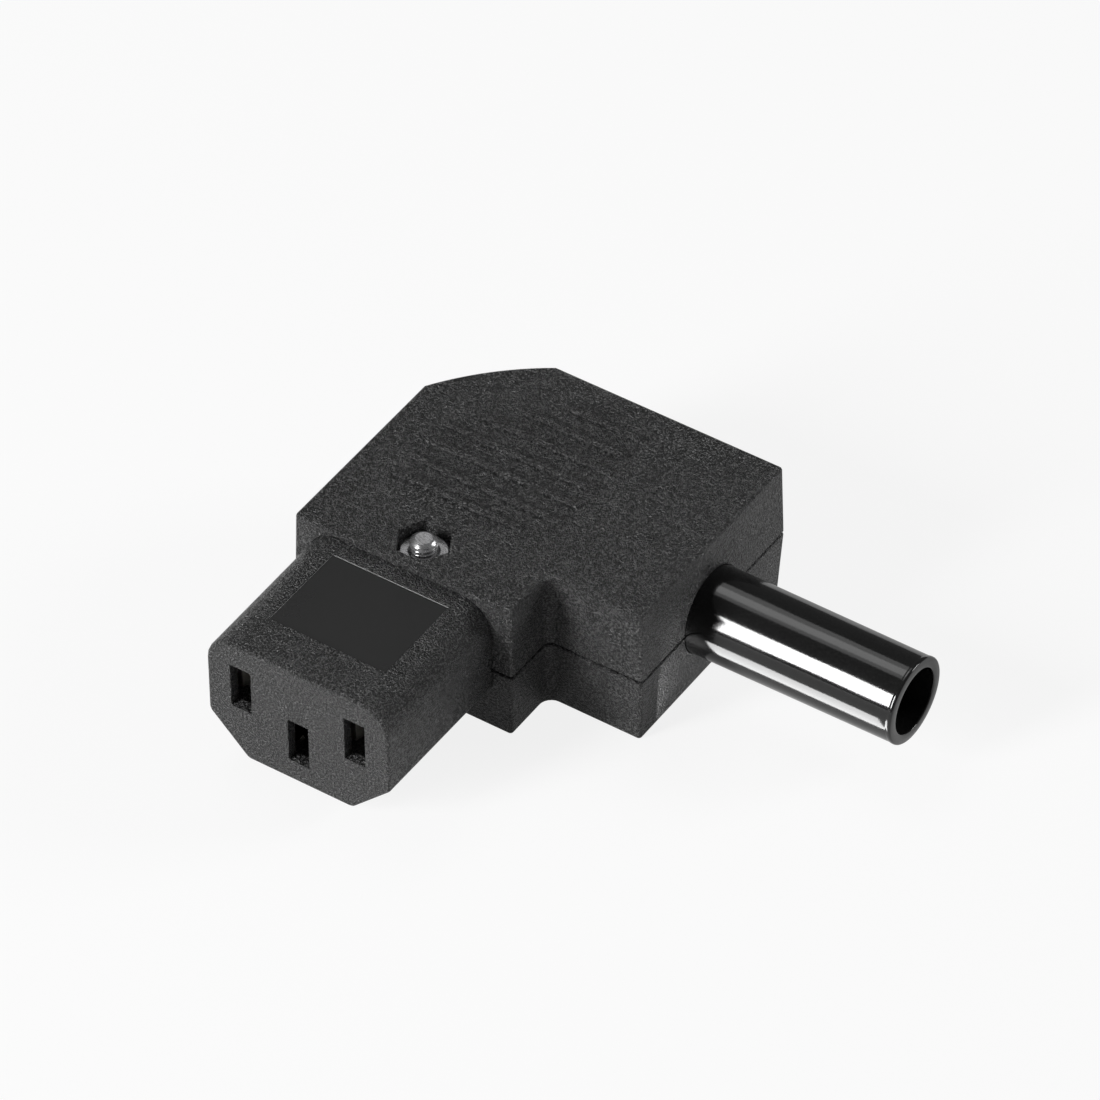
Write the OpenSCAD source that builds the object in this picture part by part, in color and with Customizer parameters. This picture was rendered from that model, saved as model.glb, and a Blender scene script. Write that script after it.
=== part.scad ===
// Rewireable right-angle C13 connector: two moulded shells, a contact carrier, a cord clamp and a cord guard.
// Origin: on the mating face, midway between the line and neutral slots. -Y is the mating way,
// +X is the way the cord leaves, +Z is up. All sizes are in millimetres.

/* [Mating nose] */
// Width of the nose at its mating face
nose_w = 22.3; // [22:0.1:22.4]
// Height of the nose at its mating face
nose_h = 15.5; // [15.3:0.1:15.6]
// How far the nose stands out of the housing
nose_len = 18.3; // [17.8:0.1:19]
// How much each side of the nose grows towards its root
nose_draft = 0.1; // [0.05:0.05:0.2]
// Radius of the two upper corners
nose_corner_r = 3.5; // [3.2:0.1:3.8]
// Leg of the two lower corner chamfers
nose_chamfer = 4.7; // [4.4:0.1:4.9]
// Distance from the line and neutral row down to the middle of the nose
nose_drop = 1.8; // [1.75:0.01:1.85]
// Distance between the middles of the line and neutral slots
pin_pitch = 14; // [13.9:0.1:14.1]
// Distance from the line and neutral row down to the earth slot
earth_drop = 4; // [3.9:0.1:4.1]
// Width of a contact slot
slot_w = 2.5; // [2.4:0.1:2.6]
// Height of a contact slot
slot_h = 5.6; // [5.4:0.1:5.8]
// Width and length of the smooth panel on top of the nose
panel = [14.3, 11.3];
// Depth of that panel
panel_depth = 0.15; // [0.1:0.05:0.25]

/* [Housing] */
// Distance from the nose's middle to the left side
body_left = 13.25; // [13:0.05:13.5]
// Distance from the nose's middle to the right side, where the cord leaves
body_right = 25.2; // [24.5:0.1:26]
// Front to back depth
body_depth = 33.9; // [33.5:0.1:34.4]
// Height of the upper shell
upper_h = 9.1; // [9:0.1:9.4]
// Height of the lower shell
lower_h = 8.7; // [8.3:0.1:9]
// Distance from the line and neutral row down to the parting plane
split_drop = 2.25; // [2.2:0.05:2.3]
// Distance from the nose's middle to the step in the front
step_x = 13.8; // [13.6:0.1:14]
// How far the front steps back beside the cord exit
step_depth = 6.65; // [6.4:0.05:6.9]
// Size of the cut back-left corner, across and along
corner_cut = [10.05, 10.05];
// How far that corner bulges outwards from a straight cut
corner_bulge = 0.75; // [0.4:0.05:1]
// Wall thickness
wall = 2; // [1.9:0.05:2]
// Inward lean of the upper shell's walls over their height
upper_draft = 0.2; // [0.1:0.05:0.3]
// Inward lean of the lower shell's walls over their height
lower_draft = 0.4; // [0.3:0.05:0.6]
// Rounding of the upright edges
upright_r = 0.35; // [0.3:0.05:0.6]
// Rounding of the inner corner of the step
step_r = 1; // [0.5:0.1:1.5]
// Rounding of the top and bottom edges
rim_r = 0.35; // [0.2:0.05:0.4]

/* [Grip ribs] */
// Number of ribs
rib_count = 7; // [5:1:7]
// Spacing of the ribs
rib_pitch = 3; // [2.8:0.1:3]
// Width of a rib
rib_w = 0.7; // [0.5:0.1:1]
// Height of a rib
rib_h = 0.3; // [0.2:0.05:0.4]
// Distance from the front of the housing to the first rib
rib_start = 10.6; // [10:0.1:11]
// Left and right ends of the longest ribs
rib_span = [-8.1, 10.85];

/* [Cord guard] */
// Distance from the front of the housing to the cord's axis
cord_y = 19.8; // [19.7:0.1:20]
// Length of the guard outside the housing
guard_len = 24.6; // [20:0.1:30]
// Outer radius where the guard leaves the housing
guard_root_r = 4.95; // [4.85:0.05:5.1]
// Outer radius at the open end
guard_tip_r = 4.85; // [4.6:0.05:4.85]
// Bore radius
guard_bore_r = 3.7; // [3.5:0.05:3.7]

/* [Fasteners] */
// Distance from the nose's middle to the assembly screw, to the right
screw_x = 0.25; // [0:0.05:0.3]
// Distance from the front of the housing to the assembly screw
screw_y = 4.2; // [4.1:0.1:4.3]
// Thread diameter of the assembly screw and the terminal screws
screw_d = 3; // [3]
// Width across the flats of the assembly nut
nut_flats = 5.3; // [5.3:0.05:5.4]
// Height of the assembly nut
nut_h = 2.4; // [2.2:0.1:2.5]
// How far the top of the nut lies below the top of the housing
nut_sink = 1.45; // [1.3:0.05:1.6]

/* [Contacts] */
// Thickness of the contact strip
strip_t = 0.8; // [0.8]
// Thickness of the two spring leaves
leaf_t = 0.7; // [0.6:0.05:0.7]
// Distance from the front of the housing to the line and neutral screws
terminal_y = 8; // [7.9:0.1:8.1]
// Distance from the front of the housing to the earth screw
earth_terminal_y = 15.9; // [15.9:0.1:16.2]

/* [Hidden] */
$fn = 48;

// Levels
split_z = -split_drop;
top_z = split_z + upper_h;
bottom_z = split_z - lower_h;
roof_z = top_z - wall;
floor_z = bottom_z + wall;
seam = 0.2;                      // height of the shadow gap round the parting plane
seam_depth = 0.5;                // and how far it goes into the wall

// Places along Y
front_y = nose_len;
back_y = front_y + body_depth;
step_y = front_y + step_depth;
inside_y = front_y + wall;
nose_seat = 0.6;                 // how far the nose's root is let into the front wall
cut = 0.01;                      // overrun of a cutting solid
play = 0.1;                      // room between mouldings that fit together

// Contact levels: the leaves straddle a row, and the strip runs under them
line_x = pin_pitch / 2;
leaf_h = 5.1;
strip_top = -2.6;
pad_z = strip_top - strip_t;
earth_strip_top = strip_top - earth_drop;

// Rounds one corner p of an outline between its neighbours a and b with radius r
corner_steps = 6;
function unit(v) = v / norm(v);
function rounded(a, p, b, r) =
    r == 0 ? [p] :
    let (u = unit(a - p), v = unit(b - p), half = acos(u * v) / 2,
         centre = p + unit(u + v) * r / sin(half),
         start = p + u * r / tan(half) - centre,
         turn = cross(-u, v) > 0 ? 180 - 2 * half : 2 * half - 180)
    [for (k = [0:corner_steps])
        let (t = turn * k / corner_steps)
        centre + [start.x * cos(t) - start.y * sin(t), start.x * sin(t) + start.y * cos(t)]];
function outline(corners) =
    let (n = len(corners))
    [for (i = [0:n - 1], p = rounded(corners[(i + n - 1) % n][0], corners[i][0],
                                     corners[(i + 1) % n][0], corners[i][1])) p];

// Closes a stack of rings, all with the same number of points, into a solid
module loft(rings) {
    n = len(rings[0]);
    last = len(rings) - 1;
    points = [for (ring = rings, p = ring) p];
    sides = [for (i = [0:last - 1], k = [0:n - 1])
             let (a = i * n + k, b = i * n + (k + 1) % n)
             each [[a, a + n, b + n], [a, b + n, b]]];
    caps = [for (k = [1:n - 2]) each [[0, k, k + 1], [last * n, last * n + k + 1, last * n + k]]];
    polyhedron(points, concat(sides, caps));
}

// The back-left corner is an arc through both ends of the cut
chord = norm(corner_cut);
arc_r = (pow(chord / 2, 2) + pow(corner_bulge, 2)) / (2 * corner_bulge);
arc_mid = [-body_left + corner_cut.x / 2, back_y - corner_cut.y / 2];
arc_centre = arc_mid + unit([corner_cut.y, -corner_cut.x]) * (arc_r - corner_bulge);
arc_steps = 14;
function corner_arc(inset, steps) =
    let (r = arc_r - inset,
         left = -body_left + inset - arc_centre.x,
         back = back_y - inset - arc_centre.y,
         from = atan2(back, -sqrt(r * r - back * back)),
         to = atan2(sqrt(r * r - left * left), left))
    [for (k = [0:steps])
        let (t = from + (to - from) * k / steps)
        arc_centre + r * [cos(t), sin(t)]];

// Plan of the housing, drawn in by inset on every side. It starts at the left end of the arc,
// which sees all the others, so the flat top and bottom of a loft split cleanly into triangles
function body_corners(inset, r) =
    let (steps = r == 0 ? 1 : arc_steps, arc = corner_arc(inset, steps))
    concat([[arc[steps], 0],
            [[-body_left + inset, front_y + inset], r],
            [[step_x - inset, front_y + inset], r],
            [[step_x - inset, step_y + inset], r == 0 ? 0 : step_r + inset],
            [[body_right - inset, step_y + inset], r],
            [[body_right - inset, back_y - inset], r]],
           [for (k = [0:steps - 1]) [arc[k], 0]]);
function body_plan(inset, r = 0) = outline(body_corners(inset, r));

// Height and inset of each ring of a shell: eased parting edge, leaning wall, rounded rim
parting_r = 0.12;
function shell_rings(h, draft) = concat(
    [[0, parting_r], [parting_r, 0]],
    [for (a = [0:30:90]) [h - rim_r + rim_r * sin(a), draft + rim_r * (1 - cos(a))]]);
module shell_form(h, draft, up) {
    steps = shell_rings(h, draft);
    ordered = up ? steps : [for (k = [len(steps) - 1:-1:0]) steps[k]];
    loft([for (s = ordered)
          [for (p = body_plan(s[1], upright_r)) [p.x, p.y, split_z + (up ? s[0] : -s[0] - seam)]]]);
}

// Hollow of the shells between two levels
module cavity(z0, z1) {
    translate([0, 0, z0]) linear_extrude(z1 - z0) polygon(body_plan(wall));
}

// Section of the nose, grown by g on every side, at distance y from the mating face
nose_edge_r = 0.35;
nose_foot_r = 0.9;
function nose_corners(g) =
    let (w = nose_w / 2 + g, h = nose_h / 2 + g, c = nose_chamfer + (2 - sqrt(2)) * g)
    [[[w, h], nose_corner_r + g], [[-w, h], nose_corner_r + g],
     [[-w, c - h], nose_foot_r], [[c - w, -h], nose_foot_r],
     [[w - c, -h], nose_foot_r], [[w, c - h], nose_foot_r]];
function nose_ring(y, g) = [for (p = outline(nose_corners(g))) [p.x, y, p.y - nose_drop]];
module nose_form(clearance = 0) {
    root = front_y + nose_seat;
    loft(concat([nose_ring(root, clearance + nose_draft)],
                [for (a = [0:30:90]) nose_ring(nose_edge_r * (1 - sin(a)),
                                               clearance - nose_edge_r * (1 - cos(a)))]));
}

// Upright block between two corners
module block(low, high) {
    translate(low) cube(high - low);
}

// Neck of the carrier, which the front walls of both shells close round
neck_half = 9.8;
neck_top = split_z + 6.7;
neck_bottom = split_z - 5.3;
neck_notch_half = 3.3;           // leaves room for the nut boss
neck_notch_z = split_z + 2;
neck_chamfer = 3;                // keeps the neck behind the nose's own chamfers
module neck_section(clearance = 0) {
    half = neck_half + clearance;
    low = neck_bottom - clearance;
    high = neck_top + clearance;
    notch = neck_notch_half - clearance;
    polygon([[neck_chamfer - half, low], [half - neck_chamfer, low], [half, low + neck_chamfer],
             [half, high], [notch, high], [notch, neck_notch_z + clearance],
             [-notch, neck_notch_z + clearance], [-notch, high],
             [-half, high], [-half, low + neck_chamfer]]);
}
module along_y(y0, y1) {
    translate([0, y1, 0]) rotate([90, 0, 0]) linear_extrude(y1 - y0) children();
}
module at_cord(x) {
    translate([x, front_y + cord_y, split_z]) rotate([0, 90, 0]) children();
}
module at_screw(z) {
    translate([screw_x, front_y + screw_y, z]) children();
}

// Shared features of both shells
boss_r = 2.9;
screw_gap = 0.15;
guard_gap = 0.05;
nose_gap = 0.03;
flange_r = 6.6;                  // inner flange of the cord guard
flange_t = 1.6;
flange_x = body_right - wall - flange_t;
keeper_t = 1;                    // rib that holds the flange against the side wall
keeper_half = 8;
keeper_mouth_r = 4.6;
module guard_keeper(z0, z1) {
    difference() {
        block([flange_x - keeper_t, front_y + cord_y - keeper_half, z0],
              [flange_x, front_y + cord_y + keeper_half, z1]);
        at_cord(flange_x - keeper_t - cut) cylinder(r = keeper_mouth_r, h = keeper_t + 2 * cut);
    }
}
module shell_openings() {
    nose_form(clearance = nose_gap);
    along_y(front_y, inside_y + cut) neck_section(clearance = play);
    at_cord(body_right - wall - cut) cylinder(r = guard_root_r + guard_gap, h = wall + 2 * cut);
    at_cord(flange_x) cylinder(r = flange_r + guard_gap, h = flange_t);
}

// Grip ribs: the first is short on the right, and the last ones step back beside the cut corner
last_full_rib = 3;
module grip_ribs() {
    for (i = [0:rib_count - 1]) {
        y = front_y + rib_start + i * rib_pitch;
        left = rib_span[0] + max(0, i - last_full_rib) * rib_pitch;
        right = i == 0 ? rib_span[1] - rib_pitch : rib_span[1];
        block([left, y, top_z - rib_h], [right, y + rib_w, top_z + rib_h]);
    }
}

nut_floor = top_z - nut_sink - nut_h;
nut_pocket_flats = 5.45;
hook_x = [2, 16];                // left sides of the two hooks on the rear wall
hook_w = 6;
hook_t = 0.9;
hook_low = 1.7;                  // levels of a hook's barb above the parting plane
hook_high = 2.9;
hook_reach = 0.5;                // how far the barb goes into the rear wall
hook_play = 0.2;
module upper_shell() {
    color([0.06, 0.06, 0.06]) difference() {
        union() {
            difference() {
                shell_form(upper_h, upper_draft, true);
                cavity(split_z - cut, roof_z);
            }
            grip_ribs();
            at_screw(split_z) cylinder(r = boss_r, h = roof_z - split_z + cut);
            guard_keeper(split_z, roof_z + cut);
        }
        shell_openings();
        at_screw(nut_floor)
            cylinder(d = nut_pocket_flats / cos(30), h = nut_h + nut_sink + cut, $fn = 6);
        at_screw(split_z - cut) cylinder(r = screw_d / 2 + screw_gap, h = upper_h);
        for (x = hook_x)
            block([x - hook_play, back_y - wall - cut, split_z + hook_low - hook_play],
                  [x + hook_w + hook_play, back_y - wall + hook_reach + hook_play,
                   split_z + hook_high + hook_play]);
    }
}

head_seat = bottom_z + 2.1;      // bearing face of the assembly screw's head
head_seat_t = 0.4;               // plastic between that face and the boss
counterbore_r = 3.1;
counterbore_wall = 1.2;
post_r = 2.7;                    // posts of the cord clamp screws
post_reach = 7.2;
clamp_x = flange_x - keeper_t - 3.6;
clamp_w = 4.4;
saddle_t = 2;
saddle_mouth_r = 3.6;
pilot_r = 1.15;
pilot_floor = 0.5;               // plastic below the pilot holes
square_nut = 5.5;
square_nut_h = 1.8;
terminal_room = 5;               // depth of the screw hole below a terminal pad
module terminal_pocket(x, y) {
    side = square_nut + 2 * play;
    translate([x, y, pad_z]) {
        translate([-side / 2, -side / 2, -square_nut_h]) cube([side, side, square_nut_h + cut]);
        translate([0, 0, -terminal_room]) cylinder(r = screw_d / 2 + screw_gap, h = terminal_room);
    }
}
module clamp_posts(r, z0, z1) {
    for (side = [-1, 1])
        translate([clamp_x, front_y + cord_y + side * post_reach, z0]) cylinder(r = r, h = z1 - z0);
}
module lower_shell() {
    color([0.06, 0.06, 0.06]) difference() {
        union() {
            difference() {
                union() {
                    shell_form(lower_h - seam, lower_draft, false);
                    translate([0, 0, split_z - seam - cut]) linear_extrude(seam + cut)
                        polygon(body_plan(seam_depth));
                }
                cavity(floor_z, split_z + cut);
            }
            at_screw(floor_z - cut) cylinder(r = boss_r, h = split_z - floor_z + cut);
            at_screw(floor_z - cut) cylinder(r = counterbore_r + counterbore_wall,
                                             h = head_seat + head_seat_t - floor_z + cut);
            guard_keeper(floor_z - cut, split_z);
            clamp_posts(post_r, floor_z - cut, split_z);
            cord_saddle();
            earth_post();
            for (side = [-1, 1]) carrier_rest(side);
            locating_tongues();
        }
        shell_openings();
        at_screw(bottom_z - cut) cylinder(r = counterbore_r, h = head_seat - bottom_z + cut);
        at_screw(bottom_z) cylinder(r = screw_d / 2 + screw_gap, h = lower_h + cut);
        clamp_posts(pilot_r, floor_z + pilot_floor, split_z + cut);
        terminal_pocket(0, front_y + earth_terminal_y);
    }
}
module cord_saddle() {
    y = front_y + cord_y;
    difference() {
        block([clamp_x - saddle_t / 2, y - post_reach, floor_z - cut],
              [clamp_x + saddle_t / 2, y + post_reach, split_z]);
        at_cord(clamp_x - saddle_t / 2 - cut) cylinder(r = saddle_mouth_r, h = saddle_t + 2 * cut);
    }
}
earth_post_half = 3.6;
module earth_post() {
    y = front_y + earth_terminal_y;
    half = earth_post_half;
    block([-half, y - half, floor_z - cut], [half, y + half, pad_z]);
}
deck_bottom = split_z - 3.6;
deck_rear = front_y + 12.2;
rest_half = 2.5;                 // ribs that carry the rear ends of the decks
rest_t = 1.2;
rest_setback = 0.2;
module carrier_rest(side) {
    x = side * line_x;
    rear = deck_rear - rest_setback;
    block([x - rest_half, rear - rest_t, floor_z - cut], [x + rest_half, rear, deck_bottom]);
}
tongue_foot = split_z - 3;       // where the tongues and hooks grow out of the wall
tongue_top = split_z + 1.6;
tongue_y = [deck_rear + 1, deck_rear + 9];
module locating_tongues() {
    inner = back_y - wall;
    for (x = hook_x) {
        block([x, inner - hook_t - play, tongue_foot], [x + hook_w, inner + cut, split_z - seam]);
        block([x, inner - hook_t - play, split_z - seam - cut],
              [x + hook_w, inner - play, split_z + hook_high]);
        block([x, inner - play - cut, split_z + hook_low],
              [x + hook_w, inner + hook_reach, split_z + hook_high]);
    }
    left = wall - body_left;
    block([left - cut, tongue_y[0], tongue_foot],
          [left + play + hook_t, tongue_y[1], split_z - seam]);
    block([left + play, tongue_y[0], split_z - seam - cut],
          [left + play + hook_t, tongue_y[1], tongue_top]);
}

// Contact carrier: nose, neck, flange and the two terminal decks
panel_y = front_y - 1.85;        // rear edge of the smooth panel
panel_z = nose_h / 2 - nose_drop + nose_draft / 2 - panel_depth;
skin_t = 1.3;                    // front skin that the slots go through
well_w = 4.8;
well_top = leaf_h + strip_top + 0.35;
flange_front = inside_y + 0.05;
flange_back = inside_y + 1.5;
flange_half = 10.9;
deck_inner = screw_x + boss_r + play;
deck_outer = 10.6;
barrier_t = 0.7;
barrier_top = split_z + 3.6;
deck_lip = 0.5;
jog_x = 4.6;                     // the earth strip passes the boss on this line
jog_w = 2.6;
strip_play = 0.25;
leaf_back = front_y - 4.5;
module contact_well(x, drop) {
    block([x - well_w / 2, skin_t, pad_z - drop], [x + well_w / 2, flange_back + cut, well_top - drop]);
    block([x - slot_w / 2, -cut, -slot_h / 2 - drop], [x + slot_w / 2, skin_t + cut, slot_h / 2 - drop]);
}
module contact_carrier() {
    color([0.07, 0.07, 0.07]) difference() {
        union() {
            nose_form();
            along_y(front_y, flange_back) neck_section();
            along_y(flange_front, flange_back) difference() {
                translate([-flange_half, neck_bottom])
                    square([2 * flange_half, roof_z - neck_bottom - play]);
                translate([-deck_inner, floor_z]) square([2 * deck_inner, upper_h + lower_h]);
            }
            for (side = [-1, 1]) terminal_deck(side);
        }
        for (x = [-line_x, line_x]) {
            contact_well(x, 0);
            terminal_pocket(x, front_y + terminal_y);
        }
        contact_well(0, earth_drop);
        block([-deck_inner, front_y + screw_y - boss_r - play, floor_z],
              [deck_inner, deck_rear + cut, neck_top + cut]);
        block([0, leaf_back - play, earth_strip_top - strip_t - strip_play],
              [jog_x + jog_w / 2 + strip_play, deck_rear, earth_strip_top + strip_play]);
        block([screw_x - panel.x / 2, panel_y - panel.y, panel_z],
              [screw_x + panel.x / 2, panel_y, panel_z + panel_depth + wall]);
    }
}
module terminal_deck(side) {
    mirrored = side < 0 ? [1, 0, 0] : [0, 0, 0];
    mirror(mirrored) {
        block([deck_inner, flange_back - cut, deck_bottom], [deck_outer, deck_rear, pad_z]);
        block([deck_inner, flange_back - cut, deck_bottom],
              [deck_inner + barrier_t, deck_rear, barrier_top]);
        block([deck_outer - deck_lip, flange_back - cut, deck_bottom],
              [deck_outer, deck_rear, pad_z + strip_t]);
    }
}

// Contacts: two sprung leaves standing on a strip that ends in a terminal pad
mouth_y = skin_t + 1.2;
leaf_line = [[1.55, mouth_y], [0.85, mouth_y + 2.6], [1.25, mouth_y + 6.5], [1.45, leaf_back]];
module spring_leaves(drop) {
    inner = leaf_line;
    outer = [for (k = [len(leaf_line) - 1:-1:0]) leaf_line[k] + [leaf_t, 0]];
    for (side = [0, 1])
        mirror([side, 0, 0]) translate([0, 0, strip_top - drop]) linear_extrude(leaf_h)
            polygon(concat(inner, outer));
}
strip_w = 4.2;
strip_lap = 5;                   // length of strip under the leaves
pad_w = 6;
pad_len = 6.8;
pad_front = flange_back + 0.2;
module flat_strip(drop) {
    translate([0, 0, pad_z - drop]) linear_extrude(strip_t) children();
}
module straight_contact() {
    y = front_y + terminal_y;
    spring_leaves(0);
    flat_strip(0) difference() {
        union() {
            translate([-strip_w / 2, leaf_back - strip_lap]) square([strip_w, y - leaf_back + strip_lap]);
            translate([-pad_w / 2, pad_front]) square([pad_w, y + pad_len / 2 - pad_front]);
        }
        translate([0, y]) circle(r = screw_d / 2 + screw_gap);
    }
}
module line_contact() {
    color([0.75, 0.74, 0.7]) translate([-line_x, 0, 0]) straight_contact();
}
module neutral_contact() {
    color([0.75, 0.74, 0.7]) translate([line_x, 0, 0]) straight_contact();
}
riser_y = front_y + 10.3;        // where the earth strip turns up to the level of its pad
jog_front = front_y - 1.3;       // the bends that take it round the boss
jog_back = front_y + 7.6;
jog_slant = 0.4;
earth_pad_y = front_y + earth_terminal_y - 3;
module earth_contact() {
    y = front_y + earth_terminal_y;
    half = jog_w / 2;
    color([0.75, 0.74, 0.7]) {
        spring_leaves(earth_drop);
        flat_strip(earth_drop) {
            translate([-strip_w / 2, leaf_back - strip_lap]) square([strip_w, strip_lap + cut]);
            polygon([[-strip_w / 2, leaf_back], [strip_w / 2, leaf_back],
                     [jog_x + half, jog_front - jog_slant], [jog_x + half, jog_back + jog_slant],
                     [half, riser_y], [half, riser_y + strip_t], [-half, riser_y + strip_t],
                     [-half, riser_y - jog_slant], [jog_x - half, jog_back - jog_slant],
                     [jog_x - half, jog_front + jog_slant]]);
        }
        block([-half, riser_y, earth_strip_top - strip_t], [half, riser_y + strip_t, strip_top]);
        flat_strip(0) difference() {
            union() {
                translate([-half, riser_y]) square([jog_w, earth_pad_y - riser_y + cut]);
                translate([-pad_w / 2, earth_pad_y]) square([pad_w, y + pad_len / 2 - earth_pad_y]);
            }
            translate([0, y]) circle(r = screw_d / 2 + screw_gap);
        }
    }
}

// One terminal: square nut under the pad, wire clamp and screw on top of it
module terminal_nut() {
    color([0.72, 0.72, 0.74]) translate([0, 0, pad_z - square_nut_h]) difference() {
        translate([-square_nut / 2, -square_nut / 2, 0]) cube([square_nut, square_nut, square_nut_h]);
        translate([0, 0, -cut]) cylinder(d = screw_d, h = square_nut_h + 2 * cut);
    }
}
clamp_plate = 5.6;
clamp_plate_t = 0.8;
clamp_lip = 0.5;
clamp_lip_h = 0.9;
module wire_clamp() {
    half = clamp_plate / 2;
    color([0.72, 0.72, 0.74]) translate([0, 0, strip_top]) difference() {
        union() {
            block([-half, -half, 0], [half, half, clamp_plate_t]);
            for (side = [0, 1]) mirror([side, 0, 0])
                block([half - clamp_lip, -half, 0], [half, half, clamp_plate_t + clamp_lip_h]);
        }
        translate([0, 0, -cut]) cylinder(r = screw_d / 2 + screw_gap, h = clamp_plate_t + 2 * cut);
    }
}
pan_h = 1.8;
terminal_head_r = 2.2;
terminal_shank = 4;
terminal_point = 0.3;
pan_line = [[0, 0], [1, 0], [1, 0.6], [0.86, 0.88], [0.6, 1], [0, 1]]; // shares of radius and height
recess_w = 0.7;
recess_reach = 0.6;              // share of the head's radius
recess_floor = 0.45;             // share of its height
module pan_head(r) {
    difference() {
        rotate_extrude() polygon([for (p = pan_line) [p.x * r, p.y * pan_h]]);
        for (turn = [0, 90]) rotate(turn)
            block([-r * recess_reach, -recess_w / 2, pan_h * recess_floor],
                  [r * recess_reach, recess_w / 2, pan_h + cut]);
    }
}
module threaded_shank(r, length, point) {
    rotate_extrude() polygon([[0, 0], [r, 0], [r, point - length], [r - point, -length], [0, -length]]);
}
module terminal_screw() {
    color([0.78, 0.78, 0.8]) translate([0, 0, strip_top + clamp_plate_t]) {
        pan_head(terminal_head_r);
        threaded_shank(screw_d / 2, terminal_shank, terminal_point);
    }
}
module at_line() {
    translate([-line_x, front_y + terminal_y, 0]) children();
}
module at_neutral() {
    translate([line_x, front_y + terminal_y, 0]) children();
}
module at_earth() {
    translate([0, front_y + earth_terminal_y, 0]) children();
}
module line_terminal_nut() at_line() terminal_nut();
module neutral_terminal_nut() at_neutral() terminal_nut();
module earth_terminal_nut() at_earth() terminal_nut();
module line_wire_clamp() at_line() wire_clamp();
module neutral_wire_clamp() at_neutral() wire_clamp();
module earth_wire_clamp() at_earth() wire_clamp();
module line_terminal_screw() at_line() terminal_screw();
module neutral_terminal_screw() at_neutral() terminal_screw();
module earth_terminal_screw() at_earth() terminal_screw();

// Cord clamp: an arched bar with two gripping ridges, held down on the posts
bar_t = 2.4;
arch_r = 5.3;
bar_reach = post_reach + 2.6;
ridge_x = 1.3;
ridge_w = 0.6;
ridge_h = 0.4;
module cord_clamp() {
    y = front_y + cord_y;
    color([0.12, 0.12, 0.12]) difference() {
        union() {
            difference() {
                union() {
                    block([clamp_x - clamp_w / 2, y - bar_reach, split_z],
                          [clamp_x + clamp_w / 2, y + bar_reach, split_z + bar_t]);
                    at_cord(clamp_x - clamp_w / 2) cylinder(r = arch_r, h = clamp_w);
                }
                at_cord(clamp_x - clamp_w) cylinder(r = saddle_mouth_r, h = 2 * clamp_w);
            }
            for (side = [-1, 1]) at_cord(clamp_x + side * ridge_x - ridge_w / 2) difference() {
                cylinder(r = saddle_mouth_r + ridge_h, h = ridge_w);
                translate([0, 0, -cut]) cylinder(r = saddle_mouth_r - ridge_h, h = ridge_w + 2 * cut);
            }
        }
        block([clamp_x - clamp_w, y - bar_reach, bottom_z], [clamp_x + clamp_w, y + bar_reach, split_z]);
        clamp_posts(screw_d / 2 + screw_gap, split_z - cut, split_z + bar_t + cut);
    }
}
clamp_head_r = 2.4;
clamp_shank = 7.2;
clamp_point = 0.6;
module clamp_screw(side) {
    y = front_y + cord_y + side * post_reach;
    color([0.78, 0.78, 0.8]) translate([clamp_x, y, split_z + bar_t]) {
        pan_head(clamp_head_r);
        threaded_shank(pilot_r, clamp_shank, clamp_point);
    }
}
module front_clamp_screw() clamp_screw(-1);
module rear_clamp_screw() clamp_screw(1);

// Cord guard: flange, root and tapering sleeve, turned about the cord's axis
tip_round = 0.2;
module cord_guard() {
    end = body_right + guard_len;
    tip = guard_tip_r;
    color([0.04, 0.04, 0.04]) at_cord(0) rotate_extrude()
        polygon([[guard_bore_r, flange_x], [flange_r, flange_x], [flange_r, flange_x + flange_t],
                 [guard_root_r, flange_x + flange_t], [guard_root_r, body_right],
                 [tip, end - tip_round], [tip - tip_round, end], [guard_bore_r, end]]);
}

// Assembly screw from below and its captive nut
head_r = 2.75;
tip_chamfer = 0.5;
screw_proud = 0.3;               // how far its tip stands above the top
module assembly_screw() {
    color([0.8, 0.8, 0.82]) at_screw(head_seat) mirror([0, 0, 1]) {
        pan_head(head_r);
        threaded_shank(screw_d / 2, top_z + screw_proud - head_seat, tip_chamfer);
    }
}
nut_face_r = 2.45;
nut_bore_chamfer = 0.35;
module assembly_nut() {
    corner_r = nut_flats / 2 / cos(30);
    slope = (corner_r - nut_face_r) * tan(30);
    color([0.8, 0.8, 0.82]) at_screw(nut_floor) difference() {
        intersection() {
            cylinder(r = corner_r, h = nut_h, $fn = 6);
            rotate_extrude() polygon([[0, 0], [nut_face_r, 0], [corner_r + cut, slope],
                                      [corner_r + cut, nut_h - slope], [nut_face_r, nut_h], [0, nut_h]]);
        }
        translate([0, 0, -cut]) cylinder(d = screw_d, h = nut_h + 2 * cut);
        translate([0, 0, nut_h - nut_bore_chamfer])
            cylinder(r1 = screw_d / 2, r2 = screw_d / 2 + nut_bore_chamfer + cut, h = nut_bore_chamfer + cut);
    }
}

upper_shell();
lower_shell();
contact_carrier();
line_contact();
neutral_contact();
earth_contact();
line_terminal_nut();
neutral_terminal_nut();
earth_terminal_nut();
line_wire_clamp();
neutral_wire_clamp();
earth_wire_clamp();
line_terminal_screw();
neutral_terminal_screw();
earth_terminal_screw();
cord_clamp();
front_clamp_screw();
rear_clamp_screw();
cord_guard();
assembly_screw();
assembly_nut();
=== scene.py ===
# %% [markdown]
# # A right-angle C13 power connector
# This lesson dresses the solids of a rewireable mains connector. Two moulded shells hold a contact
# carrier, whose nose plugs into an inlet, and a soft guard leaves on the right for the cord. The
# solids already have their true shapes and places, so the work here is finish: eased edges, moulded
# grain, glossy PVC, plated metal with real threads, a plain studio and a camera.

# %% Load the solids
import math

import bmesh
import bpy
from mathutils import Matrix, Vector


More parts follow.
